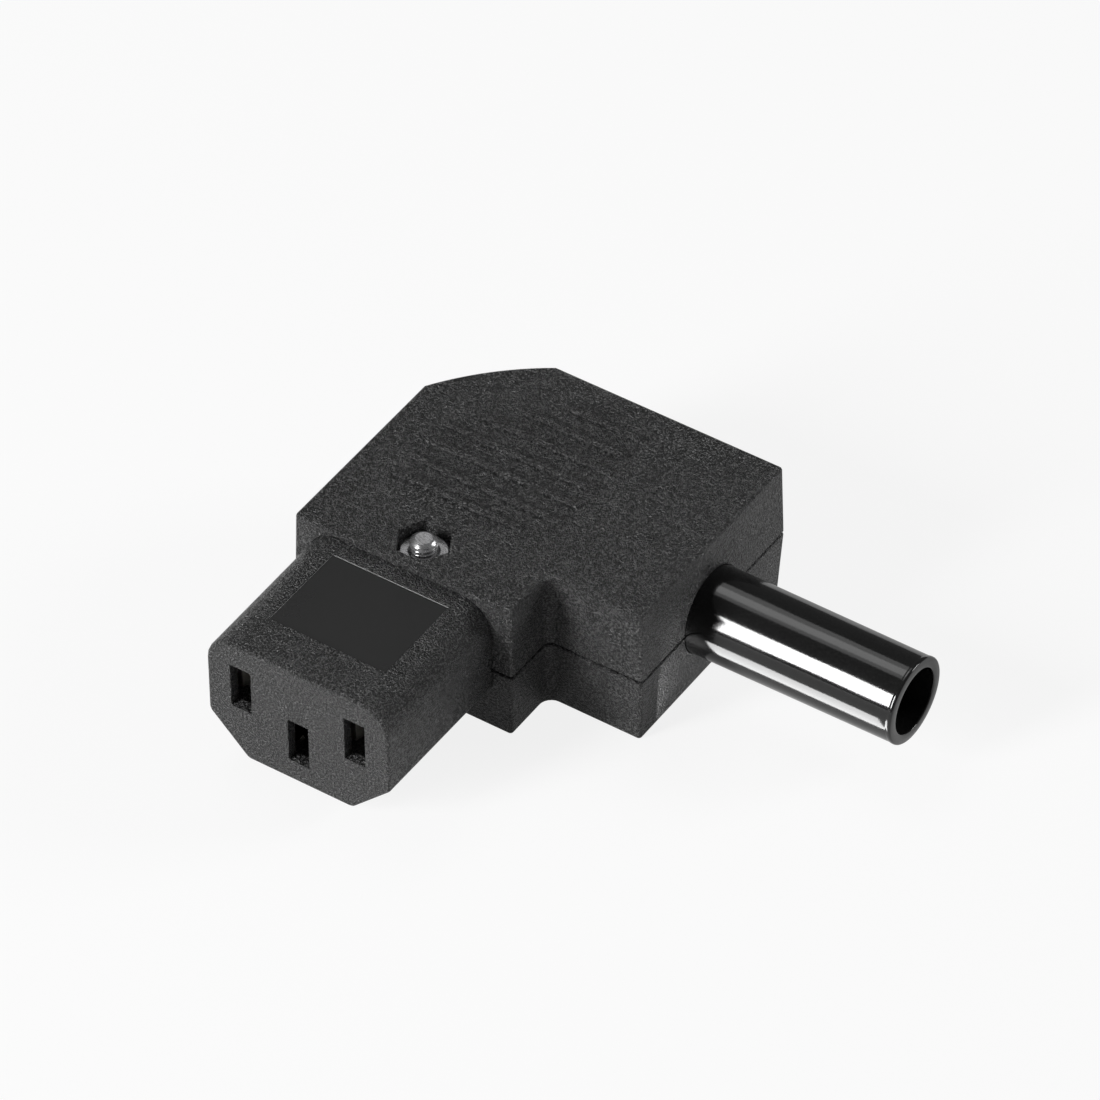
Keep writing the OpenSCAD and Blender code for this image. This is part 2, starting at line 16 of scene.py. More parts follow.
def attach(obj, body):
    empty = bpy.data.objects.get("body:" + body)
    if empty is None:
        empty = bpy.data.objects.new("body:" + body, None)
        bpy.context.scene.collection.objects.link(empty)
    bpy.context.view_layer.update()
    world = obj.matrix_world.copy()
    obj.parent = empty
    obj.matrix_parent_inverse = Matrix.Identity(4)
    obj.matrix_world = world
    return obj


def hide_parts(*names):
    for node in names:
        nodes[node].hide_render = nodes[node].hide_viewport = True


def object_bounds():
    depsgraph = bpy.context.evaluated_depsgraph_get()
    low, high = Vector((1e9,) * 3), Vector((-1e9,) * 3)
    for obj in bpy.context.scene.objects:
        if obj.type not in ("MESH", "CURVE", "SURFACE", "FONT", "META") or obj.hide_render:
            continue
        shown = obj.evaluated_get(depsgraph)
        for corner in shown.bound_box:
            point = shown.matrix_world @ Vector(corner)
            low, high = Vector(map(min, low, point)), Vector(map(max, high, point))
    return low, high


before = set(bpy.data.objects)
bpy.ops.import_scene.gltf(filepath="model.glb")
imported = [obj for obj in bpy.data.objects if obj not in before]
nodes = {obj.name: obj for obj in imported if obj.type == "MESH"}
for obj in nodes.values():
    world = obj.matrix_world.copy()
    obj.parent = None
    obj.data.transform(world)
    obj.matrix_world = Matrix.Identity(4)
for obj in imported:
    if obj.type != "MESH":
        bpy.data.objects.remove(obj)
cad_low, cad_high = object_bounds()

MM = 0.001
print("pieces loaded:", len(nodes))
print("size in mm:", [round((high - low) / MM, 2) for low, high in zip(cad_low, cad_high)])

# %% [markdown]
# ## The camera
# A product picture like this is taken from well back with a long lens, because that keeps the
# edges nearly parallel. The camera stands to the front right and looks down at 43 degrees. It is
# placed by its azimuth, elevation and a slight roll, all taken from the connector's own frame.

# %% Place the camera
CAMERA_AZIMUTH = math.radians(33.874)
CAMERA_ELEVATION = math.radians(43.342)
CAMERA_ROLL = math.radians(-0.361)
CAMERA_PLACE = Vector((330.242, -445.984, 546.016)) * MM
CAMERA_LENS = 252.22
SENSOR_WIDTH = 36


def camera_axes(azimuth, elevation, roll):
    """Right, up and backward axes of a camera that looks at the connector from this direction."""
    back = Vector((math.sin(azimuth) * math.cos(elevation),
                   -math.cos(azimuth) * math.cos(elevation),
                   math.sin(elevation)))
    level = Vector((math.cos(azimuth), math.sin(azimuth), 0))
    upright = back.cross(level)
    right = math.cos(roll) * level + math.sin(roll) * upright
    up = math.cos(roll) * upright - math.sin(roll) * level
    return right, up, back


def add_camera():
    camera = bpy.data.objects.new("studio_camera", bpy.data.cameras.new("studio_camera"))
    bpy.context.scene.collection.objects.link(camera)
    turn = Matrix(camera_axes(CAMERA_AZIMUTH, CAMERA_ELEVATION, CAMERA_ROLL)).transposed()
    camera.matrix_world = Matrix.Translation(CAMERA_PLACE) @ turn.to_4x4()
    camera.data.lens = CAMERA_LENS
    camera.data.sensor_width = SENSOR_WIDTH
    camera.data.clip_end = 10
    bpy.context.scene.camera = camera
    return camera


camera = add_camera()
print("camera stands", round(camera.location.length, 3), "m from the mating face")

# %% [markdown]
# ## The studio
# Black plastic shows its shape only through what it reflects, so each panel has one job. A tall
# softbox at the front left makes the white stripe along the guard and lights every front-facing
# rounded edge. A dim panel overhead makes the guard's grey stripe and keeps the top dark. A card
# behind on the right gives the nose's long edge its sheen. A small bright card stands on the floor
# beside the guard, facing it, and makes the guard's lower stripe. A panel's brightness is told
# against white paper in plain light, so the same number gives the same reflection at any size.

# %% Floor, lamps and world
FLOOR_REACH = 3.0
FLOOR_WHITE = 0.8
FLOOR_GLOW = 0.85
FLOOR_MIRROR_GLOW = 0.25
WORLD_LEVEL = 0.12
PANEL_DISTANCE = 0.9
# name, direction from the connector, direction of its height, width and height in metres, brightness
SOFTBOXES = [
    ("front_softbox", (-0.405, -0.826, 0.391), (0, 0.42, 0.91), 0.2, 0.49, 33),
    ("overhead_panel", (-0.405, 0.227, 0.885), (0, 1, 0), 0.3, 0.58, 1.3),
    ("overhead_core", (-0.405, 0.2, 0.89), (0, 1, 0), 0.3, 0.26, 1.6),
    ("rear_card", (0.685, 0.604, 0.405), (0, 0, 1), 0.3, 0.26, 14),
]
STRIP_PLACE = Vector((35.7, 28.2, -7.75)) * MM
STRIP_WIDTH = 20.8 * MM
STRIP_HEIGHT = 6.3 * MM
STRIP_BRIGHTNESS = 12


def link(tree, source, target):
    tree.links.new(source, target)


def new_material(name):
    material = bpy.data.materials.new(name)
    material.use_nodes = True
    material.node_tree.nodes.clear()
    return material, material.node_tree


def math_node(tree, operation, first, second=None):
    """Math node fed by sockets or numbers; returns its output."""
    node = tree.nodes.new("ShaderNodeMath")
    node.operation = operation
    for socket, value in zip(node.inputs, (first, second)):
        if value is None:
            continue
        if isinstance(value, (int, float)):
            socket.default_value = value
        else:
            link(tree, value, socket)
    return node.outputs[0]


def floor_material():
    """Pale floor: lit as paper is, and lifted to white for the eye and for mirrors."""
    material, tree = new_material("floor_paper")
    paper = tree.nodes.new("ShaderNodeBsdfDiffuse")
    paper.inputs["Color"].default_value = (FLOOR_WHITE, FLOOR_WHITE, FLOOR_WHITE, 1)
    glow = tree.nodes.new("ShaderNodeEmission")
    path = tree.nodes.new("ShaderNodeLightPath")
    eye = math_node(tree, "MULTIPLY", path.outputs["Is Camera Ray"], FLOOR_GLOW)
    mirrors = math_node(tree, "MAXIMUM", path.outputs["Is Glossy Ray"], path.outputs["Is Transmission Ray"])
    share = math_node(tree, "MAXIMUM", eye, math_node(tree, "MULTIPLY", mirrors, FLOOR_MIRROR_GLOW))
    mix = tree.nodes.new("ShaderNodeMixShader")
    link(tree, share, mix.inputs["Fac"])
    link(tree, paper.outputs[0], mix.inputs[1])
    link(tree, glow.outputs[0], mix.inputs[2])
    output = tree.nodes.new("ShaderNodeOutputMaterial")
    link(tree, mix.outputs[0], output.inputs["Surface"])
    return material


def add_floor():
    mesh = bpy.data.meshes.new("floor")
    level = cad_low.z
    corners = [(-FLOOR_REACH, -FLOOR_REACH, level), (FLOOR_REACH, -FLOOR_REACH, level),
               (FLOOR_REACH, FLOOR_REACH, level), (-FLOOR_REACH, FLOOR_REACH, level)]
    mesh.from_pydata(corners, [], [(0, 1, 2, 3)])
    mesh.materials.append(floor_material())
    floor = bpy.data.objects.new("floor", mesh)
    bpy.context.scene.collection.objects.link(floor)
    return floor


def add_panel(name, place, facing, along, width, height, brightness):
    """Rectangular lamp at a place, turned away from facing, with its height along a direction."""
    lamp = bpy.data.lights.new(name, "AREA")
    lamp.shape = "RECTANGLE"
    lamp.size = width
    lamp.size_y = height
    lamp.energy = brightness * math.pi * width * height
    back = Vector(facing).normalized()
    upright = (Vector(along) - back * back.dot(Vector(along))).normalized()
    turn = Matrix((upright.cross(back), upright, back)).transposed()
    panel = bpy.data.objects.new(name, lamp)
    panel.matrix_world = Matrix.Translation(place) @ turn.to_4x4()
    bpy.context.scene.collection.objects.link(panel)
    return panel


def add_softbox(name, direction, along, width, height, brightness):
    """Panel that faces the connector's middle from a direction."""
    back = Vector(direction).normalized()
    place = (cad_low + cad_high) / 2 + back * PANEL_DISTANCE
    return add_panel(name, place, back, along, width, height, brightness)


def set_world(level):
    world = bpy.data.worlds.new("studio")
    bpy.context.scene.world = world
    world.use_nodes = True
    background = world.node_tree.nodes["Background"]
    background.inputs["Color"].default_value = (level, level, level, 1)
    background.inputs["Strength"].default_value = 1


add_floor()
set_world(WORLD_LEVEL)
for name, direction, along, width, height, brightness in SOFTBOXES:
    add_softbox(name, direction, along, width, height, brightness)
floor_strip = add_panel("floor_strip", STRIP_PLACE, (0, -1, 0), (0, 0, 1),
                        STRIP_WIDTH, STRIP_HEIGHT, STRIP_BRIGHTNESS)
floor_strip.visible_diffuse = False
floor_strip.visible_camera = False
scene = bpy.context.scene
scene.view_settings.view_transform = "Standard"

# %% [markdown]
# ## Moulded grain
# The shells and the nose come from a spark-eroded mould, which leaves fine craters about a quarter of
# a millimetre across that scatter light into tiny specks. Two sizes of noise make the heights; their crests
# give a mask for painted glints, lighter colour that stands in for those specks of light, and their low
# parts a mask for painted shade that darkens the pits, which are also made duller. It is one node group,
# because two finishes use it.

# %% Node groups for grain
FINE_TIMES = 2.1
FINE_SHARE = 0.6
# Mask ranges: painted glints on the crests, painted shade in the pits.
GLINTS_FROM, GLINTS_FULL = 0.8, 0.95
PITS_FROM, PITS_FULL = 0.78, 0.62


def new_group(name, inputs, outputs):
    """Empty shader node group. Inputs are (name, socket type, start value), outputs (name, socket type)."""
    group = bpy.data.node_groups.new(name, "ShaderNodeTree")
    for title, kind, value in inputs:
        socket = group.interface.new_socket(title, in_out="INPUT", socket_type=kind)
        if value is not None:
            socket.default_value = value
    for title, kind in outputs:
        group.interface.new_socket(title, in_out="OUTPUT", socket_type=kind)
    return group, group.nodes.new("NodeGroupInput"), group.nodes.new("NodeGroupOutput")


def spread(tree, value, from_low, from_high, to_low=0.0, to_high=1.0):
    """Maps a value from one range to another and holds it at the ends."""
    node = tree.nodes.new("ShaderNodeMapRange")
    node.inputs["From Min"].default_value = from_low
    node.inputs["From Max"].default_value = from_high
    node.inputs["To Min"].default_value = to_low
    node.inputs["To Max"].default_value = to_high
    link(tree, value, node.inputs["Value"])
    return node.outputs["Result"]


def noise(tree, place, scale, detail=0.0, roughness=0.5):
    """Noise texture; the scale is a socket or a number."""
    texture = tree.nodes.new("ShaderNodeTexNoise")
    texture.inputs["Detail"].default_value = detail
    texture.inputs["Roughness"].default_value = roughness
    link(tree, place, texture.inputs["Vector"])
    if isinstance(scale, (int, float)):
        texture.inputs["Scale"].default_value = scale
    else:
        link(tree, scale, texture.inputs["Scale"])
    return texture.outputs["Fac"]


def grain_group():
    """Crater heights of spark-eroded plastic, with masks for painted glints on the crests and for painted
    shade in the pits.
    """
    group, start, end = new_group(
        "spark_grain",
        [("Size", "NodeSocketFloat", 0.25), ("Depth", "NodeSocketFloat", 0.05)],
        [("Height", "NodeSocketFloat"), ("Glints", "NodeSocketFloat"), ("Pits", "NodeSocketFloat")])
    place = group.nodes.new("ShaderNodeTexCoord").outputs["Object"]
    per_metre = math_node(group, "DIVIDE", 1 / MM, start.outputs["Size"])
    coarse = noise(group, place, per_metre, 1.0)
    fine = noise(group, place, math_node(group, "MULTIPLY", per_metre, FINE_TIMES))
    both = math_node(group, "ADD", coarse, math_node(group, "MULTIPLY", fine, FINE_SHARE))
    link(group, math_node(group, "MULTIPLY", both, start.outputs["Depth"]), end.inputs["Height"])
    link(group, spread(group, both, GLINTS_FROM, GLINTS_FULL), end.inputs["Glints"])
    link(group, spread(group, both, PITS_FROM, PITS_FULL), end.inputs["Pits"])
    return group


def handling_group():
    """Broad, faint changes of gloss, as hands and packing leave on any moulding."""
    group, start, end = new_group(
        "handling",
        [("Size", "NodeSocketFloat", 9.0), ("Amount", "NodeSocketFloat", 0.05)],
        [("Gloss", "NodeSocketFloat")])
    place = group.nodes.new("ShaderNodeTexCoord").outputs["Object"]
    per_metre = math_node(group, "DIVIDE", 1 / MM, start.outputs["Size"])
    cloud = noise(group, place, per_metre, 3.0, 0.6)
    centred = math_node(group, "SUBTRACT", cloud, 0.5)
    link(group, math_node(group, "MULTIPLY", centred, start.outputs["Amount"]), end.inputs["Gloss"])
    return group


spark_grain = grain_group()
handling = handling_group()
print("groups:", [(g.name, len(g.nodes)) for g in bpy.data.node_groups])

# %% [markdown]
# ## Plastic finishes
# Both mouldings are black thermoplastic with grain. Their colour is a dark neutral grey, lightened on the
# crater crests as painted glints and darkened in the pits as painted shade, and the surface is fairly
# glossy, so that each crater wall can catch a softbox. The carrier has one smooth panel on top of the nose;
# a mask made from its place switches the grain, the painted glints and the painted shade off there.

# %% Grained plastic
PANEL_X = (-6.9 * MM, 7.4 * MM)
PANEL_Y = (5.15 * MM, 16.45 * MM)
PANEL_FROM_Z = 5.5 * MM
HOUSING_HANDS = {"Size": 9.0, "Amount": 0.12}


def place_group(tree, group, values):
    node = tree.nodes.new("ShaderNodeGroup")
    node.node_tree = group
    for title, value in values.items():
        node.inputs[title].default_value = value
    return node


def panel_mask(tree):
    """1 on the smooth panel of the nose and 0 elsewhere, from the place on the piece."""
    split = tree.nodes.new("ShaderNodeSeparateXYZ")
    link(tree, tree.nodes.new("ShaderNodeTexCoord").outputs["Object"], split.inputs[0])
    tests = [(split.outputs["X"], "GREATER_THAN", PANEL_X[0]), (split.outputs["X"], "LESS_THAN", PANEL_X[1]),
             (split.outputs["Y"], "GREATER_THAN", PANEL_Y[0]), (split.outputs["Y"], "LESS_THAN", PANEL_Y[1]),
             (split.outputs["Z"], "GREATER_THAN", PANEL_FROM_Z)]
    mask = None
    for socket, operation, limit in tests:
        inside = math_node(tree, operation, socket, limit)
        mask = inside if mask is None else math_node(tree, "MULTIPLY", mask, inside)
    return mask


def grained_plastic(name, colour, glint_colour, pit_shade_colour, roughness, pit_roughness,
                    size, depth, panel=False):
    material, tree = new_material(name)
    shader = tree.nodes.new("ShaderNodeBsdfPrincipled")
    output = tree.nodes.new("ShaderNodeOutputMaterial")
    link(tree, shader.outputs[0], output.inputs["Surface"])
    grain = place_group(tree, spark_grain, {"Size": size, "Depth": depth})
    hands = place_group(tree, handling, HOUSING_HANDS)
    height, specks, pits = (grain.outputs[title] for title in ("Height", "Glints", "Pits"))
    if panel:
        grained = math_node(tree, "SUBTRACT", 1.0, panel_mask(tree))
        height = math_node(tree, "MULTIPLY", height, grained)
        specks = math_node(tree, "MULTIPLY", specks, grained)
        pits = math_node(tree, "MULTIPLY", pits, grained)
    colour_with_painted_light = None
    # Painted light: the crest mask lightens the colour as painted glints, and the pit mask darkens it as
    # painted shade.
    for mask, shade in ((specks, glint_colour), (pits, pit_shade_colour)):
        mix = tree.nodes.new("ShaderNodeMix")
        mix.data_type = "RGBA"
        if colour_with_painted_light is None:
            mix.inputs["A"].default_value = (colour, colour, colour, 1)
        else:
            link(tree, colour_with_painted_light, mix.inputs["A"])
        mix.inputs["B"].default_value = (shade, shade, shade, 1)
        link(tree, mask, mix.inputs["Factor"])
        colour_with_painted_light = mix.outputs["Result"]
    link(tree, colour_with_painted_light, shader.inputs["Base Color"])
    dull = spread(tree, pits, 0, 1, roughness, pit_roughness)
    link(tree, math_node(tree, "ADD", dull, hands.outputs["Gloss"]), shader.inputs["Roughness"])
    bump = tree.nodes.new("ShaderNodeBump")
    bump.inputs["Distance"].default_value = MM
    link(tree, height, bump.inputs["Height"])
    link(tree, bump.outputs["Normal"], shader.inputs["Normal"])
    return material


# The speck colour is painted glints on the crater crests; the pit colour is painted shade in the pits.
GRAIN = dict(colour=0.009, glint_colour=0.09, pit_shade_colour=0.003, roughness=0.28, pit_roughness=0.5,
             size=0.24, depth=0.3)
housing_plastic = grained_plastic("housing_plastic", **GRAIN)
carrier_plastic = grained_plastic("carrier_plastic", **GRAIN, panel=True)
# The clamp carries the same painted glints and painted pit shade, only faint.
clamp_plastic = grained_plastic("clamp_plastic", colour=0.05, glint_colour=0.06, pit_shade_colour=0.04,
                                roughness=0.45, pit_roughness=0.55, size=0.5, depth=0.02)


def dress(mesh, material):
    """Gives a mesh one material in all its slots."""
    if not mesh.materials:
        mesh.materials.append(material)
    for i in range(len(mesh.materials)):
        mesh.materials[i] = material


for node in ("upper_shell", "lower_shell"):
    dress(nodes[node].data, housing_plastic)
dress(nodes["contact_carrier"].data, carrier_plastic)
dress(nodes["cord_clamp"].data, clamp_plastic)
print("plastics:", [m.name for m in (housing_plastic, carrier_plastic, clamp_plastic)])

# %% [markdown]
# ## Metal finishes
# The screws and nuts are zinc plated, the contacts are tinned brass strip. Plating is bright but
# never a mirror: fine pitting and faint streaks break up the reflections.

# %% Plated metal
STREAK_STRETCH = (1, 6, 1)
STREAK_SCALE = 0.3
TONE_SHARE = 0.5


def plating_group():
    """Fine pitting and streaks of plated metal, as a height, a roughness and a tone."""
    group, start, end = new_group(
        "plating",
        [("Size", "NodeSocketFloat", 0.2), ("Depth", "NodeSocketFloat", 0.004)],
        [("Height", "NodeSocketFloat"), ("Streaks", "NodeSocketFloat"), ("Tone", "NodeSocketFloat")])
    place = group.nodes.new("ShaderNodeTexCoord").outputs["Object"]
    per_metre = math_node(group, "DIVIDE", 1 / MM, start.outputs["Size"])
    pitting = noise(group, place, per_metre, 2.0)
    stretch = group.nodes.new("ShaderNodeMapping")
    stretch.inputs["Scale"].default_value = STREAK_STRETCH
    link(group, place, stretch.inputs["Vector"])
    streaks = noise(group, stretch.outputs[0], math_node(group, "MULTIPLY", per_metre, STREAK_SCALE), 2.0)
    link(group, math_node(group, "MULTIPLY", pitting, start.outputs["Depth"]), end.inputs["Height"])
    link(group, spread(group, streaks, 0.3, 0.7), end.inputs["Streaks"])
    link(group, spread(group, pitting, 0.3, 0.7), end.inputs["Tone"])
    return group


plating = plating_group()


def plated_metal(name, colour, dark_colour, roughness, dull_roughness, size=0.2, depth=0.004):
    material, tree = new_material(name)
    shader = tree.nodes.new("ShaderNodeBsdfPrincipled")
    output = tree.nodes.new("ShaderNodeOutputMaterial")
    link(tree, shader.outputs[0], output.inputs["Surface"])
    shader.inputs["Metallic"].default_value = 1
    plate = place_group(tree, plating, {"Size": size, "Depth": depth})
    mix = tree.nodes.new("ShaderNodeMix")
    mix.data_type = "RGBA"
    mix.inputs["A"].default_value = (*colour, 1)
    mix.inputs["B"].default_value = (*dark_colour, 1)
    link(tree, math_node(tree, "MULTIPLY", plate.outputs["Tone"], TONE_SHARE), mix.inputs["Factor"])
    link(tree, mix.outputs["Result"], shader.inputs["Base Color"])
    dull = spread(tree, plate.outputs["Streaks"], 0, 1, roughness, dull_roughness)
    link(tree, dull, shader.inputs["Roughness"])
    bump = tree.nodes.new("ShaderNodeBump")
    bump.inputs["Distance"].default_value = MM
    link(tree, plate.outputs["Height"], bump.inputs["Height"])
    link(tree, bump.outputs["Normal"], shader.inputs["Normal"])
    return material


zinc_plate = plated_metal("zinc_plate", (0.72, 0.72, 0.73), (0.5, 0.5, 0.51), 0.2, 0.34)
tinned_brass = plated_metal("tinned_brass", (0.6, 0.58, 0.54), (0.4, 0.38, 0.34), 0.28, 0.42)
for node in nodes:
    if node.endswith("_contact"):
        dress(nodes[node].data, tinned_brass)
    elif node.endswith(("_nut", "_screw", "_wire_clamp")):
        dress(nodes[node].data, zinc_plate)
print("metals:", zinc_plate.name, tinned_brass.name)

# %% [markdown]
# ## The cord guard
# The guard is soft glossy PVC, and its long reflections would show any facet. It is therefore turned
# afresh from its outline with fine steps, a small lip at the open end included. The surface of soft
# PVC is never quite true, so a faint waviness bends the reflections. A skin of rings serves for the
# guard, and later for the screw and its nut.

# %% Turn the guard
CORD_Y = 38.1
SPLIT_Z = -2.25
GUARD_STEPS = 160
PVC_COLOUR = (0.006, 0.006, 0.006, 1)
PVC_SPECK_COLOUR = (0.011, 0.011, 0.011, 1)
PVC_ROUGHNESS = 0.11
PVC_HANDS = {"Size": 6.0, "Amount": 0.1}
WAVE_STRETCH = (0.35, 1, 1)
WAVE_SCALE, WAVE_DEPTH = 220, 0.07
SPECK_SCALE, SPECK_DEPTH = 5000, 0.002
# Places along the cord's axis and radii, in mm, round the closed outline
GUARD_LINE = [(21.62, 3.72), (21.6, 3.8), (21.6, 6.5), (21.63, 6.57), (21.7, 6.6), (23.1, 6.6),
              (23.17, 6.57), (23.2, 6.5), (23.2, 4.98), (23.24, 4.95), (25.2, 4.95), (37.0, 4.9),
              (49.15, 4.85), (49.3, 4.87), (49.4, 4.9), (49.6, 4.9), (49.7, 4.87), (49.77, 4.8),
              (49.8, 4.71), (49.8, 3.82), (49.78, 3.75), (49.72, 3.71), (49.6, 3.7), (37.0, 3.7),
              (21.7, 3.7)]


def angles(steps):
    return [2 * math.pi * k / steps for k in range(steps)]


def skin(name, rings, closed):
    """Mesh through rings of points in mm; closed joins the last ring to the first, open caps both ends."""
    steps = len(rings[0])
    faces = []
    for i in range(len(rings) if closed else len(rings) - 1):
        a, b = i * steps, (i + 1) % len(rings) * steps
        for k in range(steps):
            n = (k + 1) % steps
            faces.append((a + k, a + n, b + n, b + k))
    if not closed:
        faces.append(tuple(range(steps)))
        faces.append(tuple((len(rings) - 1) * steps + k for k in range(steps)))
    mesh = bpy.data.meshes.new(name)
    mesh.from_pydata([[c * MM for c in point] for ring in rings for point in ring], [], faces)
    return mesh


def finish_mesh(mesh, sharp_angle):
    """Turns all faces outwards, smooths them and keeps edges sharper than an angle in degrees."""
    shape = bmesh.new()
    shape.from_mesh(mesh)
    bmesh.ops.recalc_face_normals(shape, faces=shape.faces)
    shape.to_mesh(mesh)
    shape.free()
    mesh.shade_smooth()
    mesh.set_sharp_from_angle(angle=math.radians(sharp_angle))


def new_piece(name, mesh, material, replaced):
    """Adds a piece that rides on the connector and stands for a solid."""
    dress(mesh, material)
    piece = bpy.data.objects.new(name, mesh)
    bpy.context.scene.collection.objects.link(piece)
    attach(piece, "root")
    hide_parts(replaced)
    return piece


def weigh_normals(piece):
    """Flat faces keep flat shading, and the small rounds beside them take up the turn."""
    normals = piece.modifiers.new("normals", "WEIGHTED_NORMAL")
    normals.weight = 100
    normals.keep_sharp = True


def glossy_pvc():
    material, tree = new_material("glossy_pvc")
    shader = tree.nodes.new("ShaderNodeBsdfPrincipled")
    output = tree.nodes.new("ShaderNodeOutputMaterial")
    link(tree, shader.outputs[0], output.inputs["Surface"])
    place = tree.nodes.new("ShaderNodeTexCoord").outputs["Object"]
    stretch = tree.nodes.new("ShaderNodeMapping")
    stretch.inputs["Scale"].default_value = WAVE_STRETCH
    link(tree, place, stretch.inputs["Vector"])
    waves = noise(tree, stretch.outputs[0], WAVE_SCALE, 1.0)
    specks = noise(tree, place, SPECK_SCALE, 1.0)
    hands = place_group(tree, handling, PVC_HANDS)
    mix = tree.nodes.new("ShaderNodeMix")
    mix.data_type = "RGBA"
    mix.inputs["A"].default_value = PVC_COLOUR
    mix.inputs["B"].default_value = PVC_SPECK_COLOUR
    link(tree, spread(tree, specks, 0.4, 0.7), mix.inputs["Factor"])
    link(tree, mix.outputs["Result"], shader.inputs["Base Color"])
    link(tree, math_node(tree, "ADD", hands.outputs["Gloss"], PVC_ROUGHNESS), shader.inputs["Roughness"])
    bump = tree.nodes.new("ShaderNodeBump")
    bump.inputs["Distance"].default_value = MM
    wave_height = math_node(tree, "MULTIPLY", waves, WAVE_DEPTH)
    speck_height = math_node(tree, "MULTIPLY", specks, SPECK_DEPTH)
    link(tree, math_node(tree, "ADD", wave_height, speck_height), bump.inputs["Height"])
    link(tree, bump.outputs["Normal"], shader.inputs["Normal"])
    return material


pvc = glossy_pvc()
guard_rings = [[(along, CORD_Y + r * math.cos(t), SPLIT_Z + r * math.sin(t)) for t in angles(GUARD_STEPS)]
               for along, r in GUARD_LINE]
guard_mesh = skin("guard_sleeve", guard_rings, closed=True)
finish_mesh(guard_mesh, 60)
guard = new_piece("guard_sleeve", guard_mesh, pvc, "cord_guard")
weigh_normals(guard)
dress(nodes["cord_guard"].data, pvc)
print("guard faces:", len(guard_mesh.polygons))

# %% [markdown]
# ## Threads
# A thread is a radius that falls and rises as it goes round, so one function of angle and height
# describes it. The screw is wrapped in it, and the nut's bore follows the same function with a little
# play, so the two really fit. M3 has a pitch of half a millimetre and threads 0.3 mm deep.

# %% Cut the screw and its nut
PITCH = 0.5
THREAD_R = 1.5
THREAD_DEPTH = 0.3
THREAD_ROWS = 10
SCREW_STEPS = 72
SCREW_X, SCREW_Y = 0.25, 22.5
HEAD_SEAT = -8.85
# Radii and levels, in mm, of the pan head and the plain neck above it
HEAD_LINE = [(1.0, -10.65), (1.5, -10.6), (1.95, -10.5), (2.3, -10.34), (2.55, -10.13), (2.7, -9.87),
             (2.75, -9.6), (2.75, -8.93), (2.73, -8.87), (2.67, -8.85), (1.45, -8.85), (1.35, -8.8),
             (1.33, -8.2)]
RECESS_LEVELS = (-9.3, -10.9)
RECESS_REACH = 1.35
RECESS_WIDTH = 0.3
THREAD_FROM = -8.1
SCREW_TIP = 7.15
TIP_R = 0.95
NUT_BOTTOM, NUT_TOP = 3.0, 5.4
NUT_FLATS = 5.3
NUT_FACE_R = 2.45
NUT_PLAY = 0.03
COUNTERSINK_R = 1.7


def thread_radius(angle, level):
    """Radius of the M3 thread: flat crest, straight flanks, flat root."""
    turn = (level / PITCH - angle / (2 * math.pi)) % 1.0
    flank = abs(turn - 0.5) * 2
    return THREAD_R - THREAD_DEPTH * min(1.0, max(0.0, (0.85 - flank) / 0.65))


def ring(radius, level, steps=SCREW_STEPS):
    """Ring of points round the screw's axis; radius and level are numbers or functions of the angle."""
    points = []
    for t in angles(steps):
        r = radius(t) if callable(radius) else radius
        z = level(t) if callable(level) else level
        points.append((SCREW_X + r * math.cos(t), SCREW_Y + r * math.sin(t), z))
    return points


def thread_levels(low, high):
    count = round((high - low) / PITCH * THREAD_ROWS)
    return [low + (high - low) * i / count for i in range(count + 1)]


def screw_rings():
    rings = [ring(r, z) for r, z in HEAD_LINE]
    for level in thread_levels(THREAD_FROM, SCREW_TIP - 0.06):
        limit = min(1.35 + (level - THREAD_FROM) * 0.5, TIP_R + 0.04 + (SCREW_TIP - level) * 1.2)
        rings.append(ring(lambda t: min(thread_radius(t, level), limit), level))
    return rings + [ring(TIP_R, SCREW_TIP - 0.03), ring(TIP_R - 0.05, SCREW_TIP)]


def hexagon(angle):
    """Distance of a hexagon's side at an angle, with its corners on the X axis."""
    return NUT_FLATS / 2 / math.cos(angle % math.radians(60) - math.radians(30))


def chamfer(angle):
    """Depth of the 30 degree corner chamfer at an angle."""
    return (hexagon(angle) - NUT_FACE_R) * math.tan(math.radians(30))


def nut_rings():
    rings = [ring(hexagon, lambda t: NUT_BOTTOM + chamfer(t)), ring(hexagon, lambda t: NUT_TOP - chamfer(t)),
             ring(NUT_FACE_R, NUT_TOP), ring(COUNTERSINK_R, NUT_TOP)]
    for level in reversed(thread_levels(NUT_BOTTOM + 0.05, NUT_TOP - 0.05)):
        funnel = COUNTERSINK_R - min(NUT_TOP - level, level - NUT_BOTTOM)
        rings.append(ring(lambda t: max(thread_radius(t, level) + NUT_PLAY, funnel), level))
    return rings + [ring(COUNTERSINK_R, NUT_BOTTOM), ring(NUT_FACE_R, NUT_BOTTOM)]


def cross_cutter(level_deep, level_out, reach, width):
    """Tapered cross, as an object, that cuts the driver's recess from below."""
    shape = bmesh.new()
    for turn in (0, math.pi / 2):
        corners = []
        for level, scale in ((level_deep, 0.45), (level_out, 1.1)):
            for x, y in ((-reach, -width), (reach, -width), (reach, width), (-reach, width)):
                u, v = x * scale, y * (0.8 if level == level_deep else 1)
                corners.append(shape.verts.new((
                    (SCREW_X + u * math.cos(turn) - v * math.sin(turn)) * MM,
                    (SCREW_Y + u * math.sin(turn) + v * math.cos(turn)) * MM, level * MM)))
        for quad in ((0, 1, 2, 3), (7, 6, 5, 4), (0, 4, 5, 1), (1, 5, 6, 2), (2, 6, 7, 3), (3, 7, 4, 0)):
            shape.faces.new([corners[i] for i in quad])
    bmesh.ops.recalc_face_normals(shape, faces=shape.faces)
    mesh = bpy.data.meshes.new("cutter")
    shape.to_mesh(mesh)
    shape.free()
    cutter = bpy.data.objects.new("cutter", mesh)
    bpy.context.scene.collection.objects.link(cutter)
    return cutter


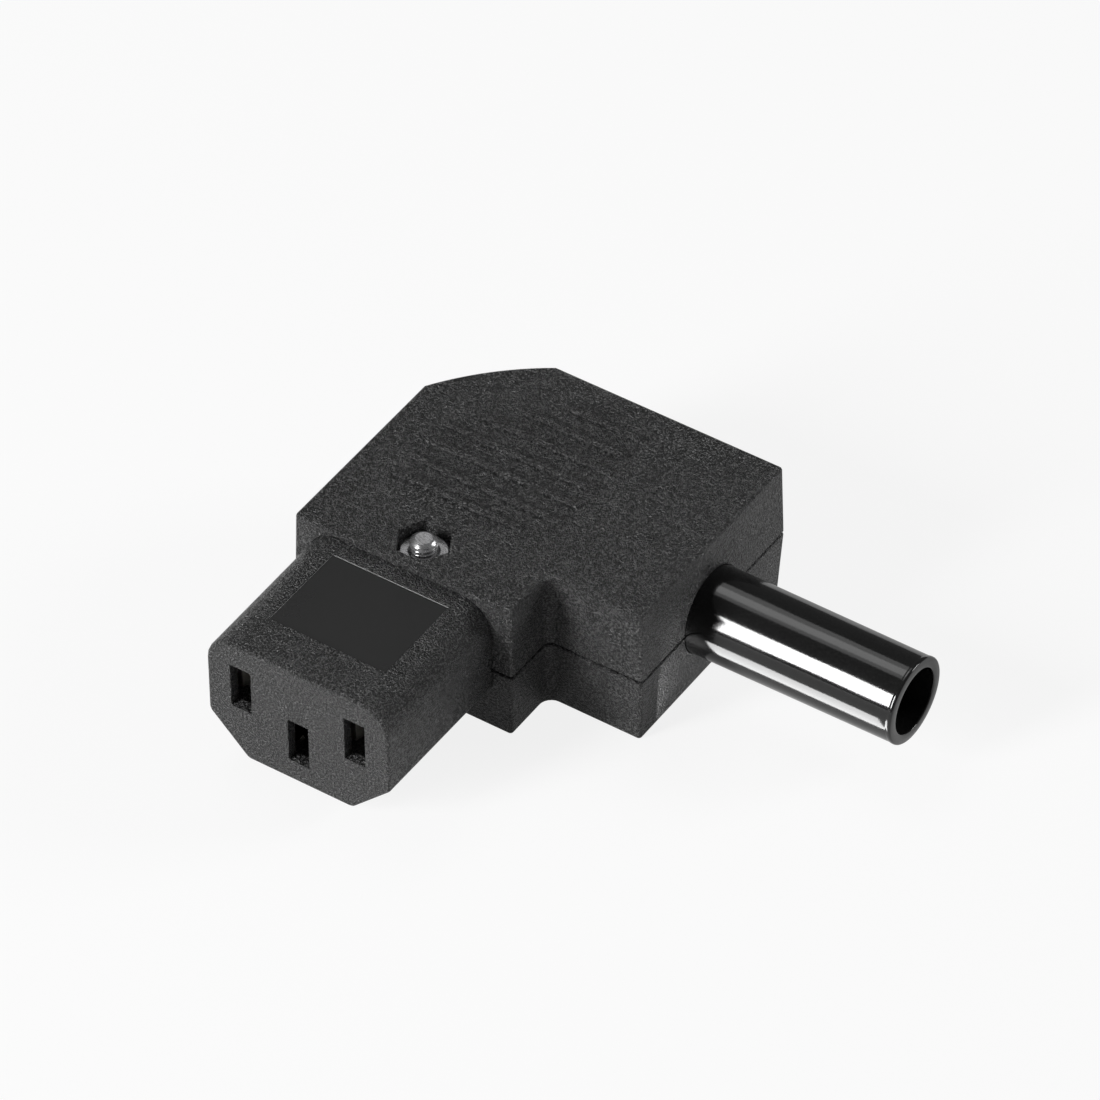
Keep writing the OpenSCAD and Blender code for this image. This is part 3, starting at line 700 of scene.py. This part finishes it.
def subtract(mesh, cutter):
    """New mesh with the cutter's shape taken out; the cutter is deleted."""
    body = bpy.data.objects.new("body", mesh)
    bpy.context.scene.collection.objects.link(body)
    cut = body.modifiers.new("cut", "BOOLEAN")
    cut.object = cutter
    cut.operation = "DIFFERENCE"
    cut.solver = "EXACT"
    cut.use_self = True
    done = bpy.data.meshes.new_from_object(body.evaluated_get(bpy.context.evaluated_depsgraph_get()))
    for helper in (body, cutter):
        bpy.data.objects.remove(helper)
    return done


screw_mesh = skin("screw_m3", screw_rings(), closed=False)
finish_mesh(screw_mesh, 30)
screw_mesh = subtract(screw_mesh, cross_cutter(*RECESS_LEVELS, RECESS_REACH, RECESS_WIDTH))
finish_mesh(screw_mesh, 30)
new_piece("screw_m3", screw_mesh, zinc_plate, "assembly_screw")
nut_mesh = skin("nut_m3", nut_rings(), closed=True)
finish_mesh(nut_mesh, 20)
new_piece("nut_m3", nut_mesh, zinc_plate, "assembly_nut")
print("faces:", {mesh.name: len(mesh.polygons) for mesh in (screw_mesh, nut_mesh)})

# %% [markdown]
# ## Eased edges
# A mould never gives a knife edge, and cut metal is always deburred. Each CAD face arrives as its own
# patch of triangles, so the patches are welded, flat areas are merged, sharp edges get a tiny bevel,
# and weighted normals keep the flats flat while the rounds stay smooth. All of it is modifiers, so the
# solids stay as they are.

# %% Ease the edges
EASE_ANGLE = math.radians(35)
FLAT_ANGLE = math.radians(0.5)
MOULDED_EASE = 0.07
METAL_EASE = 0.03


def ease_edges(node, width, segments=2):
    """Welds, flattens and bevels a solid by modifiers; the width is in mm."""
    piece = nodes[node]
    piece.data.shade_smooth()
    weld = piece.modifiers.new("weld", "WELD")
    weld.merge_threshold = 0.001 * MM
    flats = piece.modifiers.new("flats", "DECIMATE")
    flats.decimate_type = "DISSOLVE"
    flats.angle_limit = FLAT_ANGLE
    ease = piece.modifiers.new("ease", "BEVEL")
    ease.width = width * MM
    ease.segments = segments
    ease.limit_method = "ANGLE"
    ease.angle_limit = EASE_ANGLE
    ease.loop_slide = False
    ease.use_clamp_overlap = False
    weigh_normals(piece)


for node in ("upper_shell", "lower_shell", "contact_carrier"):
    ease_edges(node, MOULDED_EASE)
for node in nodes:
    if node.endswith(("_contact", "_nut", "_screw", "_clamp")) and not node.startswith("assembly"):
        ease_edges(node, METAL_EASE, 1)
print("eased:", [name for name in nodes if nodes[name].modifiers])
